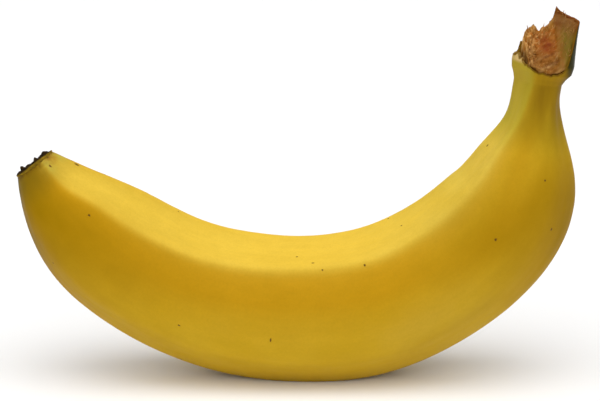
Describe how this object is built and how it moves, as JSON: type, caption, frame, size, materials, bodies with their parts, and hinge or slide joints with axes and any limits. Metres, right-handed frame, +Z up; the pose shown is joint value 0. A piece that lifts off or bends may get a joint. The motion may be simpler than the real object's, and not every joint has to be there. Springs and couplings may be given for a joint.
{
  "type": "banana",
  "caption": "Ripe banana lying on its outer curve, both ends up: ridged yellow body, short neck with a torn crown stub, and a dark withered flower end.",
  "frame": {"origin": "on the resting plane, under the middle of the fruit's bounding box", "axes": "+X along the fruit from the withered flower end to the neck, +Y from the side that the picture shows to the other side, +Z up"},
  "size_m": [0.1452, 0.035, 0.0978],
  "materials": {
    "skin": "waxy ripe peel, semi-matt, with a few brown flecks; dry brown fibres at the torn stub"
  },
  "bodies": {
    "root": {"banana": "skin"}
  },
  "joints": []
}
